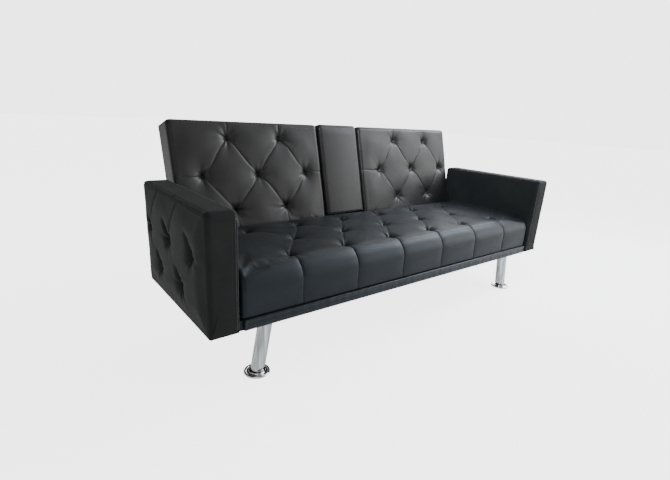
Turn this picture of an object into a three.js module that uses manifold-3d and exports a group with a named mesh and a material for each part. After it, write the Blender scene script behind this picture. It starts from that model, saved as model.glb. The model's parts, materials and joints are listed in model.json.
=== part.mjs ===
// A three-seat convertible futon sofa bed with a click-clack reclining back and a fold-down
// console in its middle. Millimetres, +Z up. The origin is on the floor at the middle of the
// sofa's footprint, +X runs along its width and the front faces -Y.
import * as THREE from 'three';
import { mergeVertices } from 'three/addons/utils/BufferGeometryUtils.js';
import { RoundedBoxGeometry } from 'three/addons/geometries/RoundedBoxGeometry.js';
import Module from 'manifold-3d';

const wasm = await Module();
wasm.setup();

// ---- driving dimensions ----

const GAP = 0.3; // between pieces that touch
const SIDES = [['left', -1], ['right', 1]];

// Arms: padded slabs standing outside the seat, level with the underside of the front trim.
const HALF_WIDTH = 940; // to the outside of an arm
const ARM_INNER = 843;
const ARM_DEPTH = 596;
const ARM_HEIGHT = 385;
const BASE_Z = 204; // underside of the arms and trim above the floor
const ARM_ROUND = 20;
const ARM_BOARD_INNER = 853;
const ARM_BOARD_OUTER = 881;
const ARM_BOARD_INSET = 20;

// Seat: a wooden frame under springs and a foam slab whose front skirt hides the frame.
const SEAT_FRONT = 10; // behind the arm fronts
const SEAT_REAR = 503;
const SEAT_TOP = 402;
const SEAT_HALF = 838;
const SEAT_SLAB_BOTTOM = 283;
const SEAT_SKIRT_BOTTOM = 241;
const SEAT_SKIRT_BACK = 34.7;
const SEAT_FRONT_ROUND = 62;
const FRAME_HALF = 833;
const FRAME_BOTTOM = 207;
const FRAME_TOP = 277;
const FRAME_FRONT = 35;
const RAIL_THICKNESS = 25;
const CROSS_RAIL_X = 270;
const CROSS_RAIL_TOP = 265;
const LEG_RAIL_X = 720;
const LEG_RAIL_WIDTH = 60;
const LEG_RAIL_TOP = 247;

// Zigzag springs front to back over the frame, tied together by two cross wires.
const SPRING_XS = [-700, -500, -300, -100, 100, 300, 500, 700];
const SPRING_WIRE = 2; // radius
const SPRING_SWING = 26;
const SPRING_WAVES = 4.5;
const SPRING_FRONT = 44;
const SPRING_REAR = 494;
const TIE_WIRE_YS = [190, 350];

// Trim along the bottom of the seat front.
const TRIM_HALF = 828;
const TRIM_FRONT = 3;
const TRIM_BACK = 33;
const TRIM_HEIGHT = 35;

// Legs: chromed tubes splayed sideways, each standing in a low round flange.
const FOOT_X = 755;
const FOOT_YS = { front: 63, rear: 440 };
const FOOT_RADIUS = 45.5;
const FOOT_TOP = 12;
const GLIDE_THICKNESS = 2;
const GLIDE_RADIUS = 39;
const LEG_SPLAY = THREE.MathUtils.degToRad(9.8);
const LEG_RADIUS = 24.5;
const LEG_WALL = 1.5;
const LEG_PLATE = { width: 100, depth: 58, thickness: 3, top: 205.3 };

// Bolts that hold each removable arm to the seat frame through a spacer rail.
const BOLT_YS = [130, 350];
const BOLT_Z = 242;
const BOLT_RADIUS = 4;
const BOLT_HEAD_RADIUS = 8;
const BOLT_HEAD = [802.3, 807.7];
const BOLT_END = 876;

// Reclining back, in its own frame: the origin is on the hinge line, y runs through its
// thickness from the front face to the rear and z runs up its slope.
const RECLINE = THREE.MathUtils.degToRad(15);
const HINGE_BEHIND_FRONT = 568;
const HINGE_HEIGHT = 354;
const BACK_HALF = 828;
const BACK_FRONT = -45;
const BACK_REAR = 65;
const BACK_BOTTOM = -38;
const BACK_TOP = 447;
const BACK_ROUND = 16;
const REAR_COVER_FRONT = 54;
const SKIRT = 12; // padding over the frame at the back's ends, top and bottom
const BAY_SKIRT = 6; // padding over the posts beside the console
const BAY_HALF = 127; // half the opening for the console
const BOARD_FRONT = -5.7;
const BOARD_BACK = -0.7;
const POST_WIDTH = 30;
const INNER_POST_FRONT = -30;
const BACK_RAIL_BOTTOM_TOP = 14;
const BACK_RAIL_TOP_BOTTOM = 400;
const BAY_RAIL = { y: [31, 53.4], z: [240, 280] };

// Fold-down console, in its own frame: the origin is on its pivot rod.
const CONSOLE_PIVOT_Y = -15; // in the back's frame
const CONSOLE_PIVOT_Z = 87;
const CONSOLE_HALF = 120;
const CONSOLE_FRONT = -30;
const CONSOLE_REAR = 42;
const CONSOLE_BOTTOM = -57;
const CONSOLE_TOP = BACK_TOP - CONSOLE_PIVOT_Z;
const CONSOLE_ROUND = 15;
const ROD_RADIUS = 6;
const ROD_HALF = 158;
const SLEEVE_RADIUS = 8;
const SLEEVE_HALF = 119;
const CUP_X = 54;
const CUP_Z = 282;
const CUP_RADIUS = 38.5;
const CUP_WALL = 1.8;
const CUP_DEPTH = 54;
const CUP_RIM_RADIUS = 43;
const CUP_RIM = 1.5;

// Click-clack hinges in the slots between the back's ends and the arms.
const HINGE_PIN_RADIUS = 6;
const HINGE_HOLE_RADIUS = 6.3;
const HINGE_BOSS_RADIUS = 22;
const BACK_PLATE = [830.3, 833.2];
const SEAT_PLATE = [833.6, 836.6];
const PIN_HEADS = { inner: [828.3, 830], outer: [836.9, 839] };
const PIN_HEAD_RADIUS = 10;

// The sofa's overall depth, from the arm fronts to the top rear edge of the back.
const DEPTH =
  HINGE_BEHIND_FRONT + BACK_TOP * Math.sin(RECLINE) + BACK_REAR * Math.cos(RECLINE);

// ---- materials ----

function finish(color, roughness, metalness) {
  return () => new THREE.MeshStandardMaterial({ color, roughness, metalness });
}

const blackLeather = finish(0x2b2d2f, 0.42, 0);
const seatLeather = finish(0x33383c, 0.42, 0);
const timber = finish(0xb99363, 0.7, 0);
const plywood = finish(0xc9a877, 0.75, 0);
const springSteel = finish(0x6f7276, 0.45, 0.8);
const blackSteel = finish(0x26272a, 0.5, 0.6);
const zincSteel = finish(0xa9abae, 0.4, 0.9);
const chrome = finish(0xd9dcdf, 0.1, 1);
const blackPlastic = finish(0x151617, 0.45, 0);
const dustCloth = finish(0x1b1b1d, 0.95, 0);

// ---- helpers ----

function addPart(parent, name, geometry, material, x = 0, y = 0, z = 0) {
  const mesh = new THREE.Mesh(geometry, material());
  mesh.name = name;
  mesh.position.set(x, y, z);
  parent.add(mesh);
}

// A pair of limits on one side of the sofa, lowest first.
function onSide(side, [inner, outer]) {
  return side > 0 ? [inner, outer] : [-outer, -inner];
}

function boxBetween([x0, x1], [y0, y1], [z0, z1]) {
  const box = new THREE.BoxGeometry(x1 - x0, y1 - y0, z1 - z0);
  return box.translate((x0 + x1) / 2, (y0 + y1) / 2, (z0 + z1) / 2);
}

function roundedBoxBetween([x0, x1], [y0, y1], [z0, z1], radius) {
  const box = new RoundedBoxGeometry(x1 - x0, y1 - y0, z1 - z0, 2, radius);
  return box.translate((x0 + x1) / 2, (y0 + y1) / 2, (z0 + z1) / 2);
}

function rodAlongX(radius, [x0, x1], y, z, segments = 16) {
  const rod = new THREE.CylinderGeometry(radius, radius, x1 - x0, segments);
  return rod.rotateZ(-Math.PI / 2).translate((x0 + x1) / 2, y, z);
}

// An outline drawn in y and z, made solid between two x values.
function extrudeAlongX(shape, [x0, x1], curveSegments = 8) {
  const settings = { depth: x1 - x0, bevelEnabled: false, curveSegments };
  const turn = new THREE.Matrix4().makeBasis(
    new THREE.Vector3(0, 1, 0),
    new THREE.Vector3(0, 0, 1),
    new THREE.Vector3(1, 0, 0),
  );
  return new THREE.ExtrudeGeometry(shape, settings).applyMatrix4(turn).translate(x0, 0, 0);
}

function toSolid(geometry) {
  const bare = geometry.clone();
  bare.deleteAttribute('normal');
  bare.deleteAttribute('uv');
  const merged = mergeVertices(bare, 1e-3);
  return new wasm.Manifold(
    new wasm.Mesh({
      numProp: 3,
      vertProperties: new Float32Array(merged.attributes.position.array),
      triVerts: new Uint32Array(merged.index.array),
    }),
  );
}

function toGeometry(solid) {
  const { vertProperties, triVerts } = solid.getMesh();
  const geometry = new THREE.BufferGeometry();
  geometry.setAttribute('position', new THREE.BufferAttribute(vertProperties, 3));
  geometry.setIndex(new THREE.BufferAttribute(triVerts, 1));
  return geometry;
}

function cut(geometry, cutters) {
  const left = cutters.reduce((solid, cutter) => solid.subtract(toSolid(cutter)), toSolid(geometry));
  return toGeometry(left);
}

function join(geometries) {
  const [first, ...others] = geometries;
  return toGeometry(others.reduce((solid, other) => solid.add(toSolid(other)), toSolid(first)));
}

// Cutters for the clearance holes of one arm's bolts.
function boltHoles(span) {
  return BOLT_YS.map((y) => rodAlongX(BOLT_RADIUS + GAP, span, y, BOLT_Z));
}

// ---- seat ----

function addSeatFrame(parent) {
  const height = [FRAME_BOTTOM, FRAME_TOP];
  const width = [-FRAME_HALF, FRAME_HALF];
  const innerFront = FRAME_FRONT + RAIL_THICKNESS + GAP;
  const innerRear = SEAT_REAR - RAIL_THICKNESS - GAP;
  const inside = [innerFront, innerRear];
  const front = [FRAME_FRONT, FRAME_FRONT + RAIL_THICKNESS];
  const rear = [SEAT_REAR - RAIL_THICKNESS, SEAT_REAR];
  addPart(parent, 'seat_front_rail', boxBetween(width, front, height), timber);
  addPart(parent, 'seat_rear_rail', boxBetween(width, rear, height), timber);
  for (const [label, side] of SIDES) {
    const edge = onSide(side, [FRAME_HALF - RAIL_THICKNESS, FRAME_HALF]);
    const holes = boltHoles([edge[0] - 5, edge[1] + 5]);
    const sideRail = cut(boxBetween(edge, inside, height), holes);
    addPart(parent, `seat_${label}_rail`, sideRail, timber);

    const half = RAIL_THICKNESS / 2;
    const cross = onSide(side, [CROSS_RAIL_X - half, CROSS_RAIL_X + half]);
    const crossRail = boxBetween(cross, inside, [FRAME_BOTTOM, CROSS_RAIL_TOP]);
    addPart(parent, `seat_cross_rail_${label}`, crossRail, timber);

    const legSpan = onSide(side, [LEG_RAIL_X - LEG_RAIL_WIDTH / 2, LEG_RAIL_X + LEG_RAIL_WIDTH / 2]);
    const legRail = boxBetween(legSpan, inside, [FRAME_BOTTOM, LEG_RAIL_TOP]);
    addPart(parent, `leg_mounting_rail_${label}`, legRail, timber);
  }
}

// The centre line of one zigzag spring, level and waving from side to side.
class SpringLine extends THREE.Curve {
  constructor(x) {
    super();
    this.x = x;
  }

  getPoint(t, target = new THREE.Vector3()) {
    const x = this.x + SPRING_SWING * Math.sin(2 * Math.PI * SPRING_WAVES * t);
    return target.set(x, THREE.MathUtils.lerp(SPRING_FRONT, SPRING_REAR, t), 0);
  }
}

function addSpringUnit(parent) {
  const section = new THREE.Shape();
  section.absarc(0, 0, SPRING_WIRE, 0, 2 * Math.PI);
  const springs = SPRING_XS.map((x) => {
    const settings = { steps: 36, curveSegments: 3, extrudePath: new SpringLine(x) };
    return new THREE.ExtrudeGeometry(section, settings);
  });
  const reach = Math.max(...SPRING_XS) + SPRING_SWING;
  const ties = TIE_WIRE_YS.map((y) => rodAlongX(SPRING_WIRE, [-reach, reach], y, 0, 6));
  const unit = join([...springs, ...ties]);
  addPart(parent, 'seat_spring_unit', unit, springSteel, 0, 0, FRAME_TOP + GAP + SPRING_WIRE);
}

// The foam slab seen from the side: a rounded front edge and a skirt that hangs in front of
// the frame.
function addSeatCushion(parent) {
  const profile = new THREE.Shape();
  profile.moveTo(SEAT_FRONT, SEAT_SKIRT_BOTTOM);
  profile.lineTo(SEAT_SKIRT_BACK, SEAT_SKIRT_BOTTOM);
  profile.lineTo(SEAT_SKIRT_BACK, SEAT_SLAB_BOTTOM);
  profile.lineTo(SEAT_REAR, SEAT_SLAB_BOTTOM);
  profile.lineTo(SEAT_REAR, SEAT_TOP);
  profile.lineTo(SEAT_FRONT + SEAT_FRONT_ROUND, SEAT_TOP);
  const centreY = SEAT_FRONT + SEAT_FRONT_ROUND;
  profile.absarc(centreY, SEAT_TOP - SEAT_FRONT_ROUND, SEAT_FRONT_ROUND, Math.PI / 2, Math.PI);
  const slab = extrudeAlongX(profile, [-SEAT_HALF, SEAT_HALF], 4);
  addPart(parent, 'seat_cushion', slab, seatLeather);
}

function addTrim(parent) {
  const round = 10;
  const profile = new THREE.Shape();
  const top = BASE_Z + TRIM_HEIGHT;
  profile.moveTo(TRIM_FRONT, BASE_Z);
  profile.lineTo(TRIM_BACK, BASE_Z);
  profile.lineTo(TRIM_BACK, top);
  profile.absarc(TRIM_FRONT + round, top - round, round, Math.PI / 2, Math.PI);
  addPart(parent, 'front_trim', extrudeAlongX(profile, [-TRIM_HALF, TRIM_HALF], 4), seatLeather);
}

function addDustCover(parent) {
  const edge = 5;
  const sheet = boxBetween(
    [-FRAME_HALF + edge, FRAME_HALF - edge],
    [FRAME_FRONT + edge, SEAT_REAR - edge],
    [LEG_PLATE.top + GAP, FRAME_BOTTOM - GAP],
  );
  addPart(parent, 'dust_cover', sheet, dustCloth);
}

// ---- legs ----

// A tube whose axis leans outwards, its ends mitred level at two heights.
function splayedTube(side, y, bottom, top) {
  const lean = Math.tan(LEG_SPLAY);
  const ring = new THREE.Shape();
  ring.absarc(0, 0, LEG_RADIUS, 0, 2 * Math.PI);
  const bore = new THREE.Path();
  bore.absarc(0, 0, LEG_RADIUS - LEG_WALL, 0, 2 * Math.PI, true);
  ring.holes.push(bore);
  const length = top - bottom;
  const tube = new THREE.ExtrudeGeometry(ring, { depth: length, bevelEnabled: false, curveSegments: 12 });
  tube.rotateY(-side * LEG_SPLAY);
  const points = tube.attributes.position;
  const halfway = (length * Math.cos(LEG_SPLAY)) / 2;
  for (let i = 0; i < points.count; i += 1) {
    const level = points.getZ(i) > halfway ? top : bottom;
    const slide = level - points.getZ(i);
    points.setX(i, points.getX(i) - side * lean * slide + side * FOOT_X);
    points.setY(i, points.getY(i) + y);
    points.setZ(i, level);
  }
  return tube;
}

function footProfile() {
  const bottom = GLIDE_THICKNESS + GAP;
  return [
    [0, bottom],
    [FOOT_RADIUS - 2, bottom],
    [FOOT_RADIUS - 0.4, bottom + 1.2],
    [FOOT_RADIUS, bottom + 2.8],
    [FOOT_RADIUS - 1, bottom + 4.6],
    [FOOT_RADIUS - 4, bottom + 6],
    [LEG_RADIUS + 6, FOOT_TOP - 0.8],
    [LEG_RADIUS + 2, FOOT_TOP],
    [0, FOOT_TOP],
  ].map(([radius, height]) => new THREE.Vector2(radius, height));
}

function addLegs(parent) {
  for (const [end, y] of Object.entries(FOOT_YS)) {
    for (const [label, side] of SIDES) {
      const plateBottom = LEG_PLATE.top - LEG_PLATE.thickness;
      const plateX = side * LEG_RAIL_X;
      const plate = boxBetween(
        [plateX - LEG_PLATE.width / 2, plateX + LEG_PLATE.width / 2],
        [y - LEG_PLATE.depth / 2, y + LEG_PLATE.depth / 2],
        [plateBottom, LEG_PLATE.top],
      );
      const tube = splayedTube(side, y, FOOT_TOP + GAP, plateBottom + 1);
      addPart(parent, `leg_${end}_${label}`, join([tube, plate]), chrome);

      const foot = new THREE.LatheGeometry(footProfile(), 24).rotateX(Math.PI / 2);
      addPart(parent, `foot_flange_${end}_${label}`, foot, chrome, side * FOOT_X, y);

      const glide = new THREE.CylinderGeometry(GLIDE_RADIUS, GLIDE_RADIUS, GLIDE_THICKNESS, 24);
      glide.rotateX(Math.PI / 2);
      const centreZ = GLIDE_THICKNESS / 2;
      addPart(parent, `foot_glide_${end}_${label}`, glide, blackPlastic, side * FOOT_X, y, centreZ);
    }
  }
}

// ---- arms ----

// Each arm is a padded cover pulled down over a board, with holes for its bolts.
function addArm(parent, label, side) {
  const top = BASE_Z + ARM_HEIGHT;
  const boardTop = top - ARM_BOARD_INSET;
  const boardY = [ARM_BOARD_INSET, ARM_DEPTH - ARM_BOARD_INSET];
  const boardX = onSide(side, [ARM_BOARD_INNER, ARM_BOARD_OUTER]);
  const board = boxBetween(boardX, boardY, [BASE_Z + 2, boardTop]);
  const holes = boltHoles(onSide(side, [ARM_INNER - 5, BOLT_END + GAP]));
  addPart(parent, `arm_board_${label}`, cut(board, holes), plywood);

  const padX = onSide(side, [ARM_INNER, HALF_WIDTH]);
  const pad = roundedBoxBetween(padX, [0, ARM_DEPTH], [BASE_Z - ARM_ROUND, top], ARM_ROUND);
  const wide = [padX[0] - 5, padX[1] + 5];
  const below = boxBetween(wide, [-5, ARM_DEPTH + 5], [BASE_Z - 2 * ARM_ROUND, BASE_Z]);
  const pocket = boxBetween(
    [boardX[0] - GAP, boardX[1] + GAP],
    [boardY[0] - GAP, boardY[1] + GAP],
    [BASE_Z - ARM_ROUND, boardTop + GAP],
  );
  addPart(parent, `arm_upholstery_${label}`, cut(pad, [below, pocket, ...holes]), blackLeather);

  const spacerX = onSide(side, [FRAME_HALF + GAP, ARM_INNER - GAP]);
  const spacer = boxBetween(spacerX, [BOLT_YS[0] - 60, BOLT_YS[1] + 30], [BOLT_Z - 25, BOLT_Z + 25]);
  const through = boltHoles([spacerX[0] - 5, spacerX[1] + 5]);
  addPart(parent, `arm_spacer_${label}`, cut(spacer, through), plywood);

  for (const [place, y] of [['front', BOLT_YS[0]], ['rear', BOLT_YS[1]]]) {
    const head = rodAlongX(BOLT_HEAD_RADIUS, onSide(side, BOLT_HEAD), 0, 0, 6);
    const shank = rodAlongX(BOLT_RADIUS, onSide(side, [BOLT_HEAD[1] - 1, BOLT_END]), 0, 0);
    addPart(parent, `arm_bolt_${place}_${label}`, join([head, shank]), zincSteel, 0, y, BOLT_Z);
  }
}

// ---- click-clack hinges ----

// Fixed plate: bolted to the seat's side rail, it rises behind the seat to the hinge line.
function addSeatHingePlate(parent, label, side) {
  const y = HINGE_BEHIND_FRONT;
  const z = HINGE_HEIGHT;
  const plate = new THREE.Shape();
  plate.moveTo(400, 214);
  plate.lineTo(y + 4, 214);
  plate.lineTo(y + HINGE_BOSS_RADIUS, z - 70);
  plate.absarc(y, z, HINGE_BOSS_RADIUS, 0, Math.PI);
  plate.lineTo(y - HINGE_BOSS_RADIUS, z - 40);
  plate.lineTo(SEAT_REAR + 4, 272);
  plate.lineTo(400, 272);
  plate.closePath();
  const hole = new THREE.Path();
  hole.absarc(y, z, HINGE_HOLE_RADIUS, 0, 2 * Math.PI, true);
  plate.holes.push(hole);
  addPart(parent, `hinge_seat_plate_${label}`, extrudeAlongX(plate, onSide(side, SEAT_PLATE)), blackSteel);
}

// Moving plate: fixed to the end of the back, it turns on the pin.
function addBackHingePlate(parent, label, side) {
  const plate = new THREE.Shape();
  plate.moveTo(HINGE_BOSS_RADIUS, 0);
  plate.lineTo(38, 60);
  plate.lineTo(38, 170);
  plate.lineTo(4, 170);
  plate.lineTo(-8, 60);
  plate.lineTo(-HINGE_BOSS_RADIUS, 0);
  plate.absarc(0, 0, HINGE_BOSS_RADIUS, Math.PI, 2 * Math.PI);
  const hole = new THREE.Path();
  hole.absarc(0, 0, HINGE_HOLE_RADIUS, 0, 2 * Math.PI, true);
  plate.holes.push(hole);
  addPart(parent, `hinge_back_plate_${label}`, extrudeAlongX(plate, onSide(side, BACK_PLATE)), blackSteel);
}

function addHingePin(parent, label, side) {
  const { inner, outer } = PIN_HEADS;
  const shaft = rodAlongX(HINGE_PIN_RADIUS, onSide(side, [inner[0] + 0.5, outer[1] - 0.5]), 0, 0);
  const innerHead = rodAlongX(PIN_HEAD_RADIUS, onSide(side, inner), 0, 0);
  const outerHead = rodAlongX(PIN_HEAD_RADIUS, onSide(side, outer), 0, 0);
  const pin = join([shaft, innerHead, outerHead]);
  addPart(parent, `hinge_pin_${label}`, pin, zincSteel, 0, HINGE_BEHIND_FRONT, HINGE_HEIGHT);
}

// ---- back ----

function addBackFrame(parent) {
  const railY = [0, REAR_COVER_FRONT - 2 * GAP];
  const end = BACK_HALF - SKIRT - GAP;
  const inner = BAY_HALF + BAY_SKIRT + GAP;
  const bottom = BACK_BOTTOM + SKIRT + GAP;
  const top = BACK_TOP - SKIRT - GAP;
  const between = [BACK_RAIL_BOTTOM_TOP + GAP, BACK_RAIL_TOP_BOTTOM - GAP];
  const bottomRail = boxBetween([-end, end], railY, [bottom, BACK_RAIL_BOTTOM_TOP]);
  addPart(parent, 'back_bottom_rail', bottomRail, timber);
  for (const [label, side] of SIDES) {
    const topRail = boxBetween(onSide(side, [inner, end]), railY, [BACK_RAIL_TOP_BOTTOM, top]);
    addPart(parent, `back_top_rail_${label}`, topRail, timber);

    const outerPost = boxBetween(onSide(side, [end - POST_WIDTH, end]), railY, between);
    addPart(parent, `back_outer_post_${label}`, outerPost, timber);

    const postY = [INNER_POST_FRONT, railY[1]];
    const innerPost = boxBetween(onSide(side, [inner, inner + POST_WIDTH]), postY, between);
    const socket = onSide(side, [inner - 5, ROD_HALF + GAP]);
    const hole = rodAlongX(ROD_RADIUS + GAP, socket, CONSOLE_PIVOT_Y, CONSOLE_PIVOT_Z);
    addPart(parent, `back_inner_post_${label}`, cut(innerPost, [hole]), timber);

    const boardX = onSide(side, [inner + POST_WIDTH + GAP, end]);
    const board = boxBetween(boardX, [BOARD_FRONT, BOARD_BACK], [bottom, top]);
    addPart(parent, `back_board_${label}`, board, plywood);
  }
  const bay = inner - GAP;
  const bayRail = boxBetween([-bay, bay], BAY_RAIL.y, BAY_RAIL.z);
  addPart(parent, 'back_bay_rail', bayRail, timber);
}

// Each side of the back is padding wrapped round the frame: a rounded block open at the rear.
function addBackCushion(parent, label, side) {
  const rear = REAR_COVER_FRONT - GAP;
  const width = onSide(side, [BAY_HALF, BACK_HALF]);
  const block = roundedBoxBetween(
    width,
    [BACK_FRONT, rear + BACK_ROUND],
    [BACK_BOTTOM, BACK_TOP],
    BACK_ROUND,
  );
  const behind = [rear, rear + 2 * BACK_ROUND];
  const wide = [width[0] - 5, width[1] + 5];
  const rearCut = boxBetween(wide, behind, [BACK_BOTTOM - 5, BACK_TOP + 5]);

  const inner = BAY_HALF + BAY_SKIRT;
  const pocketZ = [BACK_BOTTOM + SKIRT, BACK_TOP - SKIRT];
  const boardPocket = boxBetween(
    onSide(side, [inner, BACK_HALF - SKIRT]),
    [BOARD_FRONT - GAP, behind[1]],
    pocketZ,
  );
  const postPocket = boxBetween(
    onSide(side, [inner, inner + POST_WIDTH + 2 * GAP]),
    [INNER_POST_FRONT - GAP, behind[1]],
    [BACK_RAIL_BOTTOM_TOP, BACK_RAIL_TOP_BOTTOM],
  );
  const notchX = onSide(side, [BAY_HALF - 5, inner + 5]);
  const railNotch = boxBetween(notchX, [-GAP, behind[1]], [pocketZ[0], BACK_RAIL_BOTTOM_TOP + GAP]);
  const bayRailNotch = boxBetween(
    notchX,
    [BAY_RAIL.y[0] - GAP, behind[1]],
    [BAY_RAIL.z[0] - GAP, BAY_RAIL.z[1] + GAP],
  );
  const rodHole = rodAlongX(ROD_RADIUS + GAP, notchX, CONSOLE_PIVOT_Y, CONSOLE_PIVOT_Z);
  const cutters = [rearCut, boardPocket, postPocket, railNotch, bayRailNotch, rodHole];
  addPart(parent, `back_cushion_${label}`, cut(block, cutters), blackLeather);
}

function addRearCover(parent) {
  const width = [-BACK_HALF, BACK_HALF];
  const panel = boxBetween(width, [REAR_COVER_FRONT, BACK_REAR], [BACK_BOTTOM, BACK_TOP]);
  addPart(parent, 'back_rear_cover', panel, blackLeather);
}

// ---- console ----

function rodAlongY(radius, [y0, y1], x, z) {
  return new THREE.CylinderGeometry(radius, radius, y1 - y0, 24).translate(x, (y0 + y1) / 2, z);
}

function addConsolePad(parent) {
  const pad = roundedBoxBetween(
    [-CONSOLE_HALF, CONSOLE_HALF],
    [CONSOLE_FRONT, CONSOLE_REAR],
    [CONSOLE_BOTTOM, CONSOLE_TOP],
    CONSOLE_ROUND,
  );
  const cups = [-CUP_X, CUP_X].map((x) => {
    const span = [CONSOLE_REAR - CUP_DEPTH - GAP, CONSOLE_REAR + 5];
    return rodAlongY(CUP_RADIUS + GAP, span, x, CUP_Z);
  });
  const tunnel = rodAlongX(SLEEVE_RADIUS + GAP, [-CONSOLE_HALF - 5, CONSOLE_HALF + 5], 0, 0);
  addPart(parent, 'console_pad', cut(pad, [...cups, tunnel]), blackLeather);
}

// A cup liner with a rim that lies on the pad, open to the rear.
function addCupHolder(parent, label, side) {
  const floor = -CUP_DEPTH;
  const profile = [
    [0, floor],
    [CUP_RADIUS - 2, floor],
    [CUP_RADIUS, floor + 2],
    [CUP_RADIUS, GAP],
    [CUP_RIM_RADIUS, GAP],
    [CUP_RIM_RADIUS - 0.7, CUP_RIM],
    [CUP_RADIUS - CUP_WALL, CUP_RIM],
    [CUP_RADIUS - CUP_WALL, floor + CUP_WALL + 2],
    [CUP_RADIUS - CUP_WALL - 2, floor + CUP_WALL],
    [0, floor + CUP_WALL],
  ].map(([radius, height]) => new THREE.Vector2(radius, height));
  const cup = new THREE.LatheGeometry(profile, 24);
  addPart(parent, `cup_holder_${label}`, cup, blackPlastic, side * CUP_X, CONSOLE_REAR, CUP_Z);
}

function addConsoleSleeve(parent) {
  const wall = new THREE.Shape();
  wall.absarc(0, 0, SLEEVE_RADIUS, 0, 2 * Math.PI);
  const bore = new THREE.Path();
  bore.absarc(0, 0, ROD_RADIUS + GAP, 0, 2 * Math.PI, true);
  wall.holes.push(bore);
  const sleeve = extrudeAlongX(wall, [-SLEEVE_HALF, SLEEVE_HALF], 12);
  addPart(parent, 'console_pivot_sleeve', sleeve, zincSteel);
}

// ---- assembly ----

const sofa = new THREE.Group();

// Heights above the floor, distances behind the arm fronts.
const base = new THREE.Group();
base.position.y = -DEPTH / 2;
sofa.add(base);

const back = new THREE.Group();
back.position.set(0, HINGE_BEHIND_FRONT, HINGE_HEIGHT);
back.rotation.x = -RECLINE;
base.add(back);

const consoleGroup = new THREE.Group();
consoleGroup.position.set(0, CONSOLE_PIVOT_Y, CONSOLE_PIVOT_Z);
back.add(consoleGroup);

addSeatFrame(base);
addSpringUnit(base);
addSeatCushion(base);
addTrim(base);
addDustCover(base);
addLegs(base);
addBackFrame(back);
addRearCover(back);
addConsolePad(consoleGroup);
addConsoleSleeve(consoleGroup);
const rod = rodAlongX(ROD_RADIUS, [-ROD_HALF, ROD_HALF], 0, 0);
addPart(consoleGroup, 'console_pivot_rod', rod, zincSteel);
for (const [label, side] of SIDES) {
  addArm(base, label, side);
  addSeatHingePlate(base, label, side);
  addHingePin(base, label, side);
  addBackHingePlate(back, label, side);
  addBackCushion(back, label, side);
  addCupHolder(consoleGroup, label, side);
}

export default sofa;
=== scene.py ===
"""The looks of a futon sofa bed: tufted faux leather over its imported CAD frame, in metres."""

import json
import math
from functools import partial

import bmesh
import bpy
import numpy as np
from mathutils import Matrix, Vector
from mathutils.bvhtree import BVHTree


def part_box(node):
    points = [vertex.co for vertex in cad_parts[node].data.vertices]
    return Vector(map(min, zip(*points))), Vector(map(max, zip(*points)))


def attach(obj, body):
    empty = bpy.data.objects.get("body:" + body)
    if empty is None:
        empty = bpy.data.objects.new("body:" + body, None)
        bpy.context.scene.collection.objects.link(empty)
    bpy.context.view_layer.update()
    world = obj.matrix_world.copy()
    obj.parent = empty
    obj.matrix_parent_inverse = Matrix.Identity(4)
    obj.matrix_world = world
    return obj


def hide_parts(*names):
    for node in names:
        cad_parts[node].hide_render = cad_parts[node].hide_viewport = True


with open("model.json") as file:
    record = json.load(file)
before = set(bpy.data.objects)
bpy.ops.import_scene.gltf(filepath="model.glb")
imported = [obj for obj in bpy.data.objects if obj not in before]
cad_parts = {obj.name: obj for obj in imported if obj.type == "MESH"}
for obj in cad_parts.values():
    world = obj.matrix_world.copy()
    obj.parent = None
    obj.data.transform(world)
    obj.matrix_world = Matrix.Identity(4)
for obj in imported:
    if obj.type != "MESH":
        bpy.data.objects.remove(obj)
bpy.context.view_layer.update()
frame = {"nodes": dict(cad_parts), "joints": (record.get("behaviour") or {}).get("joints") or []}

# ---- driving sizes, in metres ----

ARM_FRONT_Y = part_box("arm_upholstery_right")[0].y
BASE_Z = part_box("arm_upholstery_right")[0].z
RECLINE = math.radians(15)  # how far the upright back leans
HINGE = Vector(frame["joints"][0]["pos_m"])

SIDES = ((-1, "left"), (1, "right"))
SIM_FRAMES = 20
WINDOW = math.radians(-4)  # which way the bright side of the studio lies, from +x


def behind_front(distance):
    """The y of a spot this far behind the arms' fronts."""
    return distance + ARM_FRONT_Y


def new_object(name, data):
    thing = bpy.data.objects.new(name, data)
    bpy.context.scene.collection.objects.link(thing)
    return thing


def set_inputs(tree, node, values):
    """Sets the node's inputs by name, or links them where a socket is given."""
    for name, value in values.items():
        if isinstance(value, bpy.types.NodeSocket):
            tree.links.new(value, node.inputs[name])
        else:
            node.inputs[name].default_value = value


def add_node(tree, kind, values):
    node = tree.nodes.new("ShaderNode" + kind)
    set_inputs(tree, node, values)
    return node


# ---- camera, stage and light ----

def add_camera():
    """At the place, angle and focal length fitted to the photo's corner points."""
    eye = Vector((-1.3484, behind_front(-1.0557), BASE_Z + 0.6444))
    yaw, pitch, roll = (math.radians(angle) for angle in (-39.20, -18.15, 3.38))
    forward = Vector((-math.sin(yaw) * math.cos(pitch), math.cos(yaw) * math.cos(pitch), math.sin(pitch)))
    right = Vector((math.cos(yaw), math.sin(yaw), 0))
    up = right.cross(forward)
    tilted_right = right * math.cos(roll) + up * math.sin(roll)
    tilted_up = up * math.cos(roll) - right * math.sin(roll)
    data = bpy.data.cameras.new("camera")
    data.sensor_width = 36
    data.lens = 22.56
    data.shift_x = -0.0014
    data.shift_y = 0.0219
    camera = new_object("camera", data)
    turn = Matrix((tilted_right, tilted_up, -forward)).transposed()
    camera.matrix_world = Matrix.Translation(eye) @ turn.to_4x4()
    bpy.context.scene.camera = camera


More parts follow.
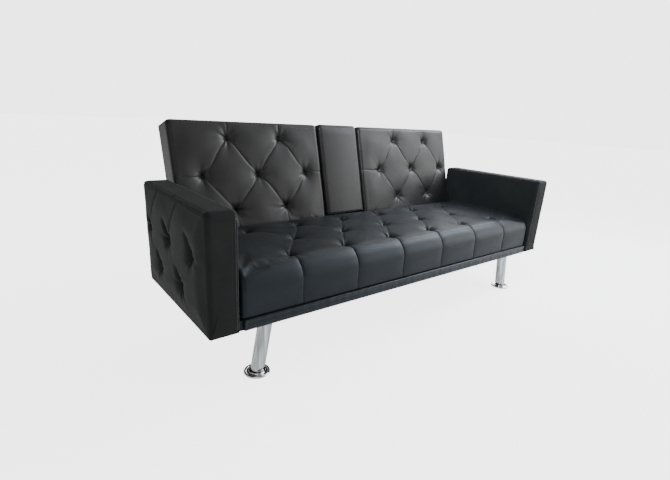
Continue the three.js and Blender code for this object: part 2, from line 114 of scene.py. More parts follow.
def add_area_light(name, place, target, size, power, color=(1, 1, 1), spread=180):
    data = bpy.data.lights.new(name, "AREA")
    data.spread = math.radians(spread)
    data.shape = "RECTANGLE"
    data.size, data.size_y = size
    data.energy = power
    data.color = color
    light = new_object(name, data)
    light.location = place
    aim = Vector(target) - Vector(place)
    light.rotation_euler = aim.to_track_quat("-Z", "Y").to_euler()


FLOOR_GLOW, FLOOR_GLOW_SEEN = 0.6, 3.4
STUDIO_GLOW, BACKDROP_GLOW_SEEN = 3.5, 3.6


def add_stage():
    """A pale floor and backdrop. The camera sees both brighter than the object reflects them."""
    size, white = 30, (1, 1, 1, 1)
    corners = [(-size, -size, 0), (size, -size, 0), (size, size, 0), (-size, size, 0)]
    floor = to_object("floor", corners, [(0, 1, 2, 3)])
    material, tree, bsdf = new_material("floor_paper")
    seen = tree.nodes.new("ShaderNodeLightPath").outputs["Is Camera Ray"]
    set_inputs(tree, bsdf, {
        "Base Color": (0.7, 0.7, 0.7, 1),
        "Roughness": 0.9,
        "Specular IOR Level": 0,
        "Emission Color": white,
        "Emission Strength": ranged(tree, seen, FLOOR_GLOW, FLOOR_GLOW_SEEN),
    })
    floor.data.materials.append(material)

    world = bpy.data.worlds.new("studio")
    bpy.context.scene.world = world
    world.use_nodes = True
    tree = world.node_tree
    direction = tree.nodes.new("ShaderNodeTexCoord").outputs["Generated"]
    half = 0.5  # takes the direction's -1 to 1 to the gradient's 0 to 1
    turned = add_node(tree, "Mapping", {
        "Vector": direction, "Rotation": (0, 0, -WINDOW), "Scale": (half,) * 3, "Location": (half, 0, 0),
    })
    gradient = add_node(tree, "TexGradient", {"Vector": turned.outputs["Vector"]})
    dim_to_bright = [(0.66, (0.09,) * 3), (0.97, (1.0,) * 3)]
    shades = ramp(tree, gradient.outputs["Fac"], dim_to_bright, "EASE")
    studio = tree.nodes["Background"]
    set_inputs(tree, studio, {"Color": shades, "Strength": STUDIO_GLOW})
    backdrop = add_node(tree, "Background", {"Color": white, "Strength": BACKDROP_GLOW_SEEN})
    mixed = tree.nodes.new("ShaderNodeMixShader")
    seen = tree.nodes.new("ShaderNodeLightPath").outputs["Is Camera Ray"]
    for number, socket in enumerate((seen, studio.outputs[0], backdrop.outputs[0])):
        tree.links.new(socket, mixed.inputs[number])
    tree.links.new(mixed.outputs[0], tree.nodes["World Output"].inputs["Surface"])


def add_lights():
    """Each light's name, place, target, size, watts, colour and spread."""
    add_area_light("key", (2.3, -0.6, 2.15), (0.1, -0.2, 0.4), (1.4, 1.0), 56, (0.84, 0.92, 1))
    add_area_light("side", (3.2, -2.6, 1.3), (0.3, 0.2, 0.5), (1.8, 1.6), 30, (1, 0.97, 0.94))
    add_area_light("top", (0.6, 1.0, 3.2), (0, 0, 0.4), (3.2, 1.6), 9)
    add_area_light("fill", (-2.6, -3.0, 1.9), (0.4, 0, 0.4), (2.2, 1.6), 18, (1, 0.98, 0.95))
    add_area_light("inner", (-0.45, -0.5, 1.35), (0.86, 0.1, 0.47), (0.5, 0.4), 5, (0.82, 0.9, 1), 70)


# ---- materials ----

def new_material(name):
    material = bpy.data.materials.new(name)
    material.use_nodes = True
    tree = material.node_tree
    return material, tree, tree.nodes["Principled BSDF"]


def metric_coordinates(tree, scale=(1, 1, 1)):
    """Object coordinates, in metres, times scale."""
    place = tree.nodes.new("ShaderNodeTexCoord").outputs["Object"]
    return add_node(tree, "Mapping", {"Vector": place, "Scale": scale}).outputs["Vector"]


def noise(tree, vector, scale, detail):
    return add_node(tree, "TexNoise", {"Vector": vector, "Scale": scale, "Detail": detail}).outputs["Fac"]


def ramp(tree, factor, stops, blend="LINEAR"):
    node = add_node(tree, "ValToRGB", {"Fac": factor})
    node.color_ramp.interpolation = blend
    for element, (place, color) in zip(node.color_ramp.elements, stops):
        element.position = place
        element.color = (*color, 1)
    return node.outputs["Color"]


def ranged(tree, factor, low, high):
    """The factor, 0 to 1, taken to low to high."""
    return add_node(tree, "MapRange", {"Value": factor, "To Min": low, "To Max": high}).outputs["Result"]


def bump(tree, height, strength, distance, below=None):
    node = add_node(tree, "Bump", {"Height": height, "Strength": strength, "Distance": distance})
    if below is not None:
        set_inputs(tree, node, {"Normal": below})
    return node.outputs["Normal"]


PEBBLES_PER_METRE, CREASES_PER_METRE = 620, 190


def leather(name, dark, light, roughness, specular, painted_light_tint=(1, 1, 1)):
    """Black faux leather: pebble grain, fine creases and a slightly uneven satin sheen."""
    material, tree, bsdf = new_material(name)
    metric = metric_coordinates(tree)
    cloudy = noise(tree, metric, 9, 4)
    patches = noise(tree, metric, 26, 3)
    creases = noise(tree, metric, CREASES_PER_METRE, 5)
    grain = add_node(tree, "TexVoronoi", {"Vector": metric, "Scale": PEBBLES_PER_METRE})
    grain.feature = "SMOOTH_F1"
    pebble = bump(tree, grain.outputs["Distance"], 0.22, 0.0004)
    set_inputs(tree, bsdf, {
        "Base Color": ramp(tree, cloudy, [(0.3, dark), (0.7, light)]),
        "Roughness": ranged(tree, patches, *roughness),
        "Specular IOR Level": specular,
        # The reflection tint paints the colour of a light into the reflections; it is neutral unless given.
        "Specular Tint": (*painted_light_tint, 1),
        "Sheen Weight": 0.03,
        "Sheen Roughness": 0.4,
        "Normal": bump(tree, creases, 0.16, 0.0009, pebble),
    })
    return material


def metal(name, color, roughness, grain=(900, 900, 60), spread=0.92):
    """Metal with faint drawn lines and small changes of polish. With a coarse grain and a low spread, as on
    the chrome legs, the lines become broad dark streaks: painted reflections.

    spread is the darkest lines' share of the colour."""
    material, tree, bsdf = new_material(name)
    lines = noise(tree, metric_coordinates(tree, grain), 1, 2)
    dark, light = (tuple(c * k for c in color) for k in (spread, 1.0))
    set_inputs(tree, bsdf, {
        "Metallic": 1,
        "Base Color": ramp(tree, lines, [(0.35, dark), (0.65, light)]),
        "Roughness": ranged(tree, lines, *roughness),
    })
    return material


def wood(name, dark, light, grain):
    """Unfinished timber with growth lines along its length."""
    material, tree, bsdf = new_material(name)
    rings = noise(tree, metric_coordinates(tree, grain), 1, 5)
    set_inputs(tree, bsdf, {
        "Base Color": ramp(tree, rings, [(0.35, dark), (0.65, light)]),
        "Roughness": ranged(tree, rings, 0.6, 0.78),
        "Normal": bump(tree, rings, 0.3, 0.0005),
    })
    return material


def moulded_plastic(name, color):
    material, tree, bsdf = new_material(name)
    texture = noise(tree, metric_coordinates(tree), 900, 2)
    raised = tuple(c * 1.25 for c in color)
    set_inputs(tree, bsdf, {
        "Base Color": ramp(tree, texture, [(0.4, color), (0.6, raised)]),
        "Roughness": ranged(tree, texture, 0.38, 0.5),
        "Normal": bump(tree, texture, 0.2, 0.0002),
    })
    return material


def woven_cloth(name, color):
    """Thin black non-woven cloth with a pressed pattern of small blocks."""
    material, tree, bsdf = new_material(name)
    weave = add_node(tree, "TexBrick", {"Vector": metric_coordinates(tree), "Scale": 400})
    for part, share in (("Color1", 1), ("Color2", 1.5), ("Mortar", 0.4)):
        set_inputs(tree, weave, {part: (*(c * share for c in color), 1)})
    set_inputs(tree, bsdf, {
        "Base Color": weave.outputs["Color"],
        "Roughness": 0.95,
        "Normal": bump(tree, weave.outputs["Fac"], 0.4, 0.0004),
    })
    return material


# ---- padded blocks ----

FAR = 9.0  # flat coordinate given to points that no seam comes near


def lines_between(low, high, spacing, through=None):
    """Coordinates from low to high about spacing apart, in step with 'through' if it is given."""
    if through is None:
        return np.linspace(low, high, max(2, round((high - low) / spacing) + 1))
    first = math.ceil((low - through) / spacing + 0.4)
    last = math.floor((high - through) / spacing - 0.4)
    inner = through + spacing * np.arange(first, last + 1)
    return np.concatenate([[low], inner, [high]])


class Block:
    """A box's surface as a grid of quads on the given lines."""

    def __init__(self, lines):
        shape = tuple(len(line) for line in lines)
        self.last = np.array(shape) - 1
        index = np.indices(shape).reshape(3, -1).T
        surface = ((index == 0) | (index == self.last)).any(axis=1)
        ids = np.full(len(index), -1)
        ids[surface] = np.arange(surface.sum())
        ids = ids.reshape(shape)
        self.index = index[surface]
        self.grid = np.column_stack([lines[a][self.index[:, a]] for a in range(3)])
        quads = []
        for axis in range(3):
            for end in (0, 1):
                side = np.take(ids, -end, axis=axis)
                corners = [side[:-1, :-1], side[1:, :-1], side[1:, 1:], side[:-1, 1:]]
                face = np.stack(corners, axis=-1).reshape(-1, 4)
                outward = (axis != 1) == (end == 1)
                quads.append(face if outward else face[:, ::-1])
        self.quads = np.concatenate(quads)

    def on(self, axis, end):
        """Which points lie on one face of the grid."""
        return self.index[:, axis] == (self.last[axis] if end else 0)

    def leave_open(self, hidden):
        """Drops the quads whose four points are all hidden, and the points left over."""
        self.quads = self.quads[~hidden[self.quads].all(axis=1)]
        used = np.unique(self.quads)
        number = np.full(len(self.grid), -1)
        number[used] = np.arange(len(used))
        self.quads = number[self.quads]
        self.index, self.grid = self.index[used], self.grid[used]


def rounded(grid, low, high, sweep, radii, end_radii):
    """The grid's points on a box from low to high whose edges are rounded.

    radii are those of the four edges along the sweep axis, in the order low-low, low-high,
    high-low, high-high of the other two axes, and end_radii those round its low and high ends."""
    low, high = np.array(low, float), np.array(high, float)
    section = [a for a in range(3) if a != sweep]
    middle = (low + high)[section] / 2
    half = (high - low)[section] / 2
    flat = grid[:, section]
    inner = (flat - middle) / half
    share = np.clip(np.abs(inner).max(axis=1), 1e-6, 1)
    edge = middle + inner / share[:, None] * half
    sideways = np.abs(inner / share[:, None]) >= 1 - 1e-9
    normal = np.where(sideways, np.sign(inner), 0.0)
    normal /= np.maximum(np.linalg.norm(normal, axis=1), 1e-9)[:, None]
    for radius, corner in zip(radii, ((-1, -1), (-1, 1), (1, -1), (1, 1))):
        sign = np.array(corner)
        centre = middle + sign * half - sign * radius
        within = ((edge - centre) * sign > 0).all(axis=1)
        direction = (edge - centre)[within]
        direction /= np.linalg.norm(direction, axis=1)[:, None]
        normal[within] = direction
        edge[within] = centre + radius * direction
    along = grid[:, sweep].copy()
    inset = np.zeros(len(grid))
    for end, radius in enumerate(end_radii):
        if not radius:
            continue
        distance = (high[sweep] - grid[:, sweep]) if end else (grid[:, sweep] - low[sweep])
        near = distance < radius
        angle = (1 - distance[near] / radius) * math.pi / 2
        inset[near] = radius * (1 - np.cos(angle))
        level = radius * (1 - np.sin(angle))
        along[near] = high[sweep] - level if end else low[sweep] + level
    points = np.empty_like(grid)
    points[:, section] = middle + share[:, None] * (edge - inset[:, None] * normal - middle)
    points[:, sweep] = along
    return points


def to_object(name, points, faces):
    mesh = bpy.data.meshes.new(name)
    mesh.from_pydata(np.asarray(points).tolist(), [], [list(f) for f in faces])
    mesh.update()
    return new_object(name, mesh)


def read_vectors(rows, field):
    found = np.empty(len(rows) * 3, np.float32)
    rows.foreach_get(field, found)
    return found.reshape(-1, 3).astype(float)


def positions(mesh):
    return read_vectors(mesh.vertices, "co")


def normals(mesh):
    return read_vectors(mesh.vertex_normals, "vector")


def normals_of(points, quads):
    probe = to_object("probe", points, quads)
    found = normals(probe.data)
    bpy.data.objects.remove(probe)
    return found


def apply_modifiers(piece):
    """Makes the modifiers' result the piece's own mesh."""
    evaluated = piece.evaluated_get(bpy.context.evaluated_depsgraph_get())
    mesh = bpy.data.meshes.new_from_object(evaluated)
    piece.modifiers.clear()
    piece.data = mesh
    mesh.name = piece.name
    return mesh


def close_hole(mesh):
    """Caps the one face a block was left without, with a hard edge round it."""
    solid = bmesh.new()
    solid.from_mesh(mesh)
    rim = [edge for edge in solid.edges if edge.is_boundary]
    bmesh.ops.holes_fill(solid, edges=rim, sides=0)
    for edge in rim:
        edge.smooth = False
    solid.to_mesh(mesh)
    solid.free()


def smoothstep(low, high, value):
    """0 at low, 1 at high and eased between, whichever of the two is larger."""
    t = np.clip((value - low) / (high - low), 0, 1)
    return t * t * (3 - 2 * t)


# ---- tufting ----

def to_segment(points, start, end):
    """Each point's distance to a segment, and how far along it the nearest spot is, 0 to 1."""
    start, end = np.array(start), np.array(end)
    run = end - start
    along = np.clip((points - start) @ run / (run @ run), 0, 1)
    return np.linalg.norm(points - start - along[:, None] * run, axis=1), along


class Tufting:
    """Tufts and the seams between them, in the flat coordinates of a panel.

    Each seam is a start, an end and a weight for how deeply it is sewn. Each fold runs from a
    tuft to where it dies out."""

    def __init__(self, tufts, seams, seed, folds=()):
        self.tufts = [np.array(t) for t in tufts]
        self.seams = seams
        self.folds = folds
        chance = np.random.default_rng(seed)
        self.fans = [(chance.integers(5, 8), *chance.uniform(0, 6.28, 2)) for _ in tufts]

    def to_tuft(self, flat):
        return np.min([np.linalg.norm(flat - t, axis=1) for t in self.tufts], axis=0)

    def pins(self, flat, seam_hold):
        """How firmly each point is held as the cover swells, wholly at the tufts."""
        on_seams = [weight * (to_segment(flat, a, b)[0] < 0.002) for a, b, weight in self.seams]
        pin = seam_hold * np.max(on_seams, axis=0)
        pin[self.to_tuft(flat) < 0.007] = 1
        return pin

    def valleys(self, flat, tuft_depth, reach, seam_depth, seam_reach):
        """How far below the surface the cover is drawn before it is inflated."""
        deep = tuft_depth * np.exp(-((self.to_tuft(flat) / reach) ** 1.2))
        for start, end, depth, width in self.folds:
            distance, along = to_segment(flat, start, end)
            fold = depth * (1 - along) ** 0.7 * np.exp(-((distance / width) ** 1.4))
            deep = np.maximum(deep, fold) + 0.3 * np.minimum(deep, fold)
        pulls = [weight * np.exp(-to_segment(flat, a, b)[0] / seam_reach) for a, b, weight in self.seams]
        seam = seam_depth * np.max(pulls, axis=0)
        return np.maximum(deep, seam) + 0.4 * np.minimum(deep, seam)

    def sway(self, flat, size):
        """How far the seams wander sideways between the tufts."""
        free = smoothstep(0.01, 0.06, self.to_tuft(flat)) * (flat[:, 0] < FAR / 2)
        u, v = flat.T
        shift = np.column_stack([np.sin(33 * v + 9 * u + 1), np.sin(29 * u - 11 * v + 2)])
        return size * free[:, None] * shift

    def stitched(self, flat, groove, pinch, fold):
        """Depth of the sewn detail: seam grooves, tuft pinches and the small folds round them."""
        depth = np.zeros(len(flat))
        for start, end, weight in self.seams:
            distance, _ = to_segment(flat, start, end)
            sewn = np.exp(-((distance / 0.0019) ** 2)) + 0.16 * np.exp(-distance / 0.007)
            depth = np.maximum(depth, weight * groove * sewn)
        for tuft, (count, turn, lean) in zip(self.tufts, self.fans):
            run = flat - tuft
            distance = np.linalg.norm(run, axis=1)
            near = distance < 0.09
            distance = distance[near]
            angle = np.arctan2(run[near, 1], run[near, 0])
            ring = distance / 0.015 * np.exp(1 - distance / 0.015)
            wave = np.cos(count * angle + turn) + 0.6 * np.cos((count + 3) * angle + 2 * turn)
            depth[near] += fold * ring * wave * (0.65 + 0.35 * np.cos(angle - lean))
            depth[near] += pinch * np.exp(-((distance / 0.006) ** 2))
        return np.where(flat[:, 0] < FAR / 2, depth, 0)


def inflate(points, quads, pin, pressure, cap):
    """Cloth simulation: the cover swells between its pinned points, by no more than cap."""
    scene = bpy.context.scene
    piece = to_object("cloth", points, quads)
    group = piece.vertex_groups.new(name="pin")
    steps = np.round(pin * 10).astype(int)
    for step in range(1, 11):
        group.add(np.nonzero(steps == step)[0].tolist(), step / 10, "REPLACE")
    cloth = piece.modifiers.new("cloth", "CLOTH")
    settings = cloth.settings
    settings.quality = 4
    settings.mass = 0.2
    settings.air_damping = 4
    settings.tension_stiffness = 40
    settings.compression_stiffness = 40
    settings.shear_stiffness = 20
    settings.bending_stiffness = 3
    settings.vertex_group_mass = "pin"
    settings.use_pressure = True
    settings.uniform_pressure_force = pressure
    settings.effector_weights.gravity = 0
    cloth.collision_settings.use_collision = False
    cloth.point_cache.frame_start = 1
    cloth.point_cache.frame_end = SIM_FRAMES
    for number in range(1, SIM_FRAMES + 1):
        scene.frame_set(number)
    evaluated = piece.evaluated_get(bpy.context.evaluated_depsgraph_get())
    moved = positions(evaluated.data) - points
    length = np.maximum(np.linalg.norm(moved, axis=1), 1e-9)
    moved *= (cap * np.tanh(length / cap) / length)[:, None]
    bpy.data.objects.remove(piece)
    scene.frame_set(1)
    return points + moved


def evened_out(values, quads, rounds):
    """Each point's value averaged with its neighbours', over and over."""
    quads = np.asarray(quads)
    ends = np.concatenate([quads[:, [i, (i + 1) % 4]] for i in range(4)])
    ends = np.concatenate([ends, ends[:, ::-1]])
    share = 1 / np.maximum(np.bincount(ends[:, 0], minlength=len(values)), 1)
    for _ in range(rounds):
        sums = [np.bincount(ends[:, 0], column[ends[:, 1]], len(values)) for column in values.T]
        values = np.column_stack(sums) * share[:, None]
    return values


def finish_cover(name, points, quads, flat, detail, material):
    """The final mesh: subdivided once, with the sewn detail pressed in."""
    piece = to_object(name, points, quads)
    carried = piece.data.attributes.new("flat", "FLOAT_VECTOR", "POINT")
    spread = np.column_stack([flat, np.zeros(len(flat))]).astype(np.float32)
    carried.data.foreach_set("vector", spread.ravel())
    smooth = piece.modifiers.new("smooth", "SUBSURF")
    smooth.levels = smooth.render_levels = 1
    mesh = apply_modifiers(piece)
    fine = read_vectors(mesh.attributes["flat"].data, "vector")[:, :2]
    sunk = positions(mesh) - normals(mesh) * detail(fine)[:, None]
    mesh.vertices.foreach_set("co", sunk.astype(np.float32).ravel())
    mesh.attributes.remove(mesh.attributes["flat"])
    mesh.shade_smooth()
    close_hole(mesh)
    mesh.materials.append(material)
    mesh.update()
    return piece


def assign(piece, body, replaced=()):
    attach(piece, body)
    if replaced:
        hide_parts(*replaced)


# ---- back ----

BACK_FRONT, BACK_PAD_REAR, BACK_REAR = -0.045, 0.0537, 0.065
BACK_BOTTOM, BACK_TOP = -0.038, 0.460  # the pads stand 13 mm proud of their frame's top
BACK_PITCH = 0.124
TOP_ROW, MIDDLE_ROW, BOTTOM_ROW = 0.391, 0.236, 0.090
BACK_SEAM_END = 0.345  # where the middle row's outer seams run out, from the panel's middle


def back_frame():
    """From the back's own frame, y through its thickness and z up its slope, to the row's."""
    return Matrix.Translation(HINGE) @ Matrix.Rotation(-RECLINE, 4, "X")


def back_tufting(shift, seed):
    """The tufts sit a little to one side of the panel's middle, by shift."""
    p = BACK_PITCH
    tufts = [(-p, TOP_ROW), (p, TOP_ROW), (-2 * p, MIDDLE_ROW), (0, MIDDLE_ROW)]
    tufts += [(2 * p, MIDDLE_ROW), (-p, BOTTOM_ROW), (p, BOTTOM_ROW)]
    seams = []
    for s in (-1, 1):
        for row, edge in ((TOP_ROW, BACK_TOP - 0.006), (BOTTOM_ROW, BACK_BOTTOM - 0.03)):
            seams.append(((s * p, row), (0, MIDDLE_ROW), 1))
            seams.append(((s * p, row), (s * 2 * p, MIDDLE_ROW), 0.65))
            seams.append(((s * p, row), (s * p, edge), 0.6))
        seams.append(((s * 2 * p, MIDDLE_ROW), (s * BACK_SEAM_END - shift, MIDDLE_ROW), 0.8))

    def moved(spot):
        return (spot[0] + shift, spot[1])

    seams = [(moved(start), moved(end), weight) for start, end, weight in seams]
    return Tufting([moved(tuft) for tuft in tufts], seams, seed)


def add_back_panel(label, material, shift, seed):
    """A tufted pad, swollen between its tufts and kept flat towards its top and sides."""
    low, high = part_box(f"back_cushion_{label}")
    centre = (low.x + high.x) / 2
    half = (high.x - low.x) / 2 - 0.0005
    lines = (
        lines_between(-half, half, BACK_PITCH / 20, through=shift),
        lines_between(BACK_FRONT, BACK_PAD_REAR, 0.0062),
        lines_between(BACK_BOTTOM, BACK_TOP, (TOP_ROW - MIDDLE_ROW) / 24, through=MIDDLE_ROW),
    )
    block = Block(lines)
    block.leave_open(block.on(1, 1))
    round_low = (-half, BACK_FRONT + 0.002, BACK_BOTTOM)
    round_high = (half, BACK_PAD_REAR + 0.04, BACK_TOP)
    points = rounded(block.grid, round_low, round_high, 0, (0.016,) * 4, (0.015, 0.015))
    x, y, z = block.grid.T
    into = y - BACK_FRONT
    front = block.on(1, 0)
    flat = np.full((len(points), 2), FAR)
    flat[front] = block.grid[front][:, [0, 2]]
    for end, edge, way in ((0, BACK_BOTTOM, -1), (1, BACK_TOP, 1)):
        face = block.on(2, end) & ~front
        flat[face] = np.column_stack([x[face], edge + way * into[face]])
    tufting = back_tufting(shift, seed)
    to_side, to_top = half - np.abs(x), BACK_TOP - z
    inward = smoothstep(0, 0.03, to_side) * (1 - smoothstep(0.005, 0.03, into))
    inward *= smoothstep(0, 0.03, to_top)
    depth = tufting.valleys(flat, tuft_depth=0.022, reach=0.020, seam_depth=0.0012, seam_reach=0.010)
    points -= normals_of(points, block.quads) * (depth * inward)[:, None]
    points[:, [0, 2]] += tufting.sway(flat, 0.0035) * inward[:, None]
    pin = tufting.pins(flat, seam_hold=0.3)
    pin[(into > 0.02) | (to_side < 0.001)] = 1
    swell = inflate(points, block.quads, pin, pressure=2.2, cap=0.011) - points
    corner = smoothstep(0.18, 0.06, to_side) * smoothstep(0.15, 0.05, to_top)
    corner *= smoothstep(0.02, 0.06, tufting.to_tuft(flat))
    swell += (evened_out(swell, block.quads, rounds=60) - swell) * corner[:, None]
    calm = smoothstep(-0.01, 0.09, to_side) * smoothstep(-0.01, 0.09, to_top)
    points += swell * calm[:, None]
    detail = partial(tufting.stitched, groove=0.0022, pinch=0.0035, fold=0.0012)
    piece = finish_cover(f"back_panel_{label}", points, block.quads, flat, detail, material)
    piece.data.transform(back_frame() @ Matrix.Translation((centre, 0, 0)))
    assign(piece, "back", [f"back_cushion_{label}"])


def add_rear_cover(material):
    """The plain panel over the back's frame, with a sewn border and a slight crown."""
    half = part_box("back_rear_cover")[1].x - 0.0005
    lines = (
        lines_between(-half, half, 0.012),
        lines_between(BACK_PAD_REAR + 0.0006, BACK_REAR, 0.003),
        lines_between(BACK_BOTTOM, BACK_TOP, 0.012),
    )
    block = Block(lines)
    block.leave_open(block.on(1, 0))
    round_low = (-half, BACK_PAD_REAR - 0.03, BACK_BOTTOM)
    points = rounded(block.grid, round_low, (half, BACK_REAR, BACK_TOP), 0, (0.006,) * 4, (0.006, 0.006))
    x, _, z = block.grid.T
    border = np.minimum(half - np.abs(x), np.minimum(z - BACK_BOTTOM, BACK_TOP - z))
    face = block.on(1, 1)
    wave = 0.0006 * np.sin(23 * x + 7 * z) * np.sin(17 * z + 5 * x + 1)
    points[face, 1] += (0.004 * smoothstep(0.02, 0.12, border) + wave * smoothstep(0, 0.05, border))[face]
    flat = np.where(face[:, None], np.column_stack([border, border]), FAR)

    def border_seam(fine):
        return 0.0016 * np.exp(-(((fine[:, 0] - 0.016) / 0.003) ** 2))

    piece = finish_cover("rear_cover", points, block.quads, flat, border_seam, material)
    piece.data.transform(back_frame())
    assign(piece, "back", ["back_rear_cover"])


# ---- console ----

CONSOLE_SHIFT = (0, -0.015, 0.087)
CONSOLE_HALF, CONSOLE_FRONT, CONSOLE_REAR = 0.12, -0.03, 0.042
CONSOLE_BOTTOM, CONSOLE_TOP = -0.057, 0.376
CUP_X, CUP_Z, CUP_RADIUS, CUP_DEPTH = 0.054, 0.282, 0.0385, 0.054
CUP_TURN = Matrix.Rotation(-math.pi / 2, 4, "X")  # a lathe's up becomes the console's rearward


def console_frame():
    return back_frame() @ Matrix.Translation(CONSOLE_SHIFT)


def add_console(material):
    low = np.array((-CONSOLE_HALF, CONSOLE_FRONT, CONSOLE_BOTTOM))
    high = np.array((CONSOLE_HALF, CONSOLE_REAR, CONSOLE_TOP))
    block = Block([lines_between(a, b, 0.006) for a, b in zip(low, high)])
    radii = (0.004, 0.016, 0.014, 0.014)
    points = rounded(block.grid, low + (0, 0.001, 0), high, 0, radii, (0.016, 0.016))
    x, y, z = block.grid.T
    across = 1 - (x / CONSOLE_HALF) ** 2
    crown = 0.006 * across * smoothstep(0.03, -0.03, y) * smoothstep(0, 0.05, CONSOLE_TOP - z)
    points[:, 1] -= crown
    pin = np.zeros(len(points))
    pin[y > CONSOLE_REAR - 0.02] = 1
    pin[CONSOLE_HALF - np.abs(x) < 0.001] = 1
    pin[z < CONSOLE_BOTTOM + 0.02] = 1
    points = inflate(points, block.quads, pin, pressure=3.5, cap=0.008)
    plain = np.full((len(points), 2), FAR)
    piece = finish_cover("console_cushion", points, block.quads, plain, lambda fine: 0 * fine[:, 0], material)
    for side in (-1, 1):
        hole, floor = CUP_RADIUS + 0.0007, -CUP_DEPTH - 0.002
        cutter = lathe("cutter", [(0, floor), (hole, floor), (hole, 0.03), (0, 0.03)], 96)
        cutter.data.transform(Matrix.Translation((side * CUP_X, CONSOLE_REAR, CUP_Z)) @ CUP_TURN)
        cut = piece.modifiers.new("cut", "BOOLEAN")
        cut.object = cutter
        cut.operation = "DIFFERENCE"
        cut.solver = "MANIFOLD"
        apply_modifiers(piece)
        bpy.data.objects.remove(cutter)
    piece.data.transform(console_frame())
    assign(piece, "console", ["console_pad"])


def add_cup_holders(material):
    for side, label in SIDES:
        r, wall, depth = CUP_RADIUS, 0.0018, CUP_DEPTH
        profile = [(0, -depth), (r - 0.004, -depth), (r - 0.0012, -depth + 0.0012), (r, -depth + 0.004)]
        profile += [(r, 0.0002), (r + 0.0042, 0.0002), (r + 0.0046, 0.0007), (r + 0.0042, 0.0014)]
        profile += [(r + 0.001, 0.0017), (r - wall, 0.0008), (r - wall - 0.0006, -0.004)]
        profile += [(r - wall - 0.0012, -depth + 0.006), (r - wall - 0.004, -depth + 0.0022)]
        profile += [(0.022, -depth + 0.0018), (0.0205, -depth + 0.0028), (0, -depth + 0.0028)]
        piece = lathe(f"cup_{label}", profile, 96)
        piece.data.transform(Matrix.Translation((side * CUP_X, CONSOLE_REAR, CUP_Z)) @ CUP_TURN)
        piece.data.transform(console_frame())
        smooth_by_angle(piece, 40)
        piece.data.materials.append(material)
        assign(piece, "console", [f"cup_holder_{label}"])


# ---- seat ----

SEAT_HALF, SEAT_FRONT, SEAT_REAR = 0.8345, 0.010, 0.503
SEAT_TOP, SLAB_BOTTOM, SKIRT_BOTTOM = 0.401, 0.283, 0.241
SEAT_PITCH = 0.1215
SEAT_ROWS = (0.105, 0.265, 0.425)


def seat_tufting():
    p = SEAT_PITCH
    front, middle, rear = SEAT_ROWS
    odd, even = (-5, -3, -1, 1, 3, 5), (-4, -2, 0, 2, 4)
    tufts = [(k * p, front) for k in odd] + [(k * p, middle) for k in even]
    tufts += [(k * p, rear) for k in odd]
    seams = []
    for k in odd:
        seams += [((k * p, front), (k * p, -0.2), 1), ((k * p, rear), (k * p, 0.6), 0.7)]
        for m in even:
            if abs(m - k) == 1:
                seams.append(((k * p, front), (m * p, middle), 0.9 if m > k else 0.35))
                seams.append(((m * p, middle), (k * p, rear), 0.9 if k > m else 0.35))
    return Tufting(tufts, seams, 3)


def add_seat(material):
    """The tufted slab, with a skirt that hangs down its front to the trim."""
    step_y = (SEAT_ROWS[1] - SEAT_ROWS[0]) / 22
    lines = (
        lines_between(-SEAT_HALF, SEAT_HALF, SEAT_PITCH / 22, through=0),
        lines_between(SEAT_FRONT, SEAT_REAR, step_y, through=SEAT_ROWS[0]),
        lines_between(SKIRT_BOTTOM, SEAT_TOP, 0.0065),
    )
    skirt_line = int(np.searchsorted(lines[1], 0.0335)) - 1
    block = Block(lines)
    behind = block.index[:, 1] > skirt_line
    block.leave_open(block.on(2, 0) & behind)
    x, y, z = block.grid.T
    behind = block.index[:, 1] > skirt_line
    low = (-SEAT_HALF, SEAT_FRONT, SKIRT_BOTTOM)
    high = (SEAT_HALF, SEAT_REAR, SEAT_TOP)
    points = rounded(block.grid, low, high, 0, (0.003, 0.076, 0.004, 0.016), (0.018, 0.018))
    squeeze = (SEAT_TOP - SLAB_BOTTOM) / (SEAT_TOP - SKIRT_BOTTOM)
    points[behind, 2] = SEAT_TOP - (SEAT_TOP - points[behind, 2]) * squeeze
    points[behind & block.on(2, 0), 2] = SLAB_BOTTOM
    turn = block.on(2, 0) & (block.index[:, 1] == skirt_line + 1)
    points[turn, 1] = lines[1][skirt_line] + 0.001
    top, front = block.on(2, 1), block.on(1, 0)
    flat = np.full((len(points), 2), FAR)
    flat[top] = block.grid[top][:, :2]
    face = front & ~top
    flat[face] = np.column_stack([x[face], SEAT_FRONT - (SEAT_TOP - z[face])])
    tufting = seat_tufting()
    inward = smoothstep(0, 0.03, SEAT_HALF - np.abs(x)) * smoothstep(0, 0.02, SEAT_REAR - y)
    inward *= np.where(face, smoothstep(0, 0.03, z - SKIRT_BOTTOM), 1)
    depth = tufting.valleys(flat, tuft_depth=0.025, reach=0.021, seam_depth=0.003, seam_reach=0.018)
    depth *= inward
    depth[flat[:, 0] > FAR / 2] = 0
    points -= normals_of(points, block.quads) * depth[:, None]
    over = top & (y > 0.07)
    points[over, :2] += tufting.sway(flat[over], 0.003) * inward[over, None]
    pin = tufting.pins(flat, seam_hold=0.5)
    pin[~top & ~front] = 1
    pin[front & (z < SKIRT_BOTTOM + 0.03)] = 1
    points = inflate(points, block.quads, pin, pressure=1.8, cap=0.008)
    detail = partial(tufting.stitched, groove=0.0019, pinch=0.005, fold=0.0015)
    points[:, 1] += behind_front(0)
    piece = finish_cover("seat_cover", points, block.quads, flat, detail, material)
    assign(piece, "sofa_base", ["seat_cushion"])


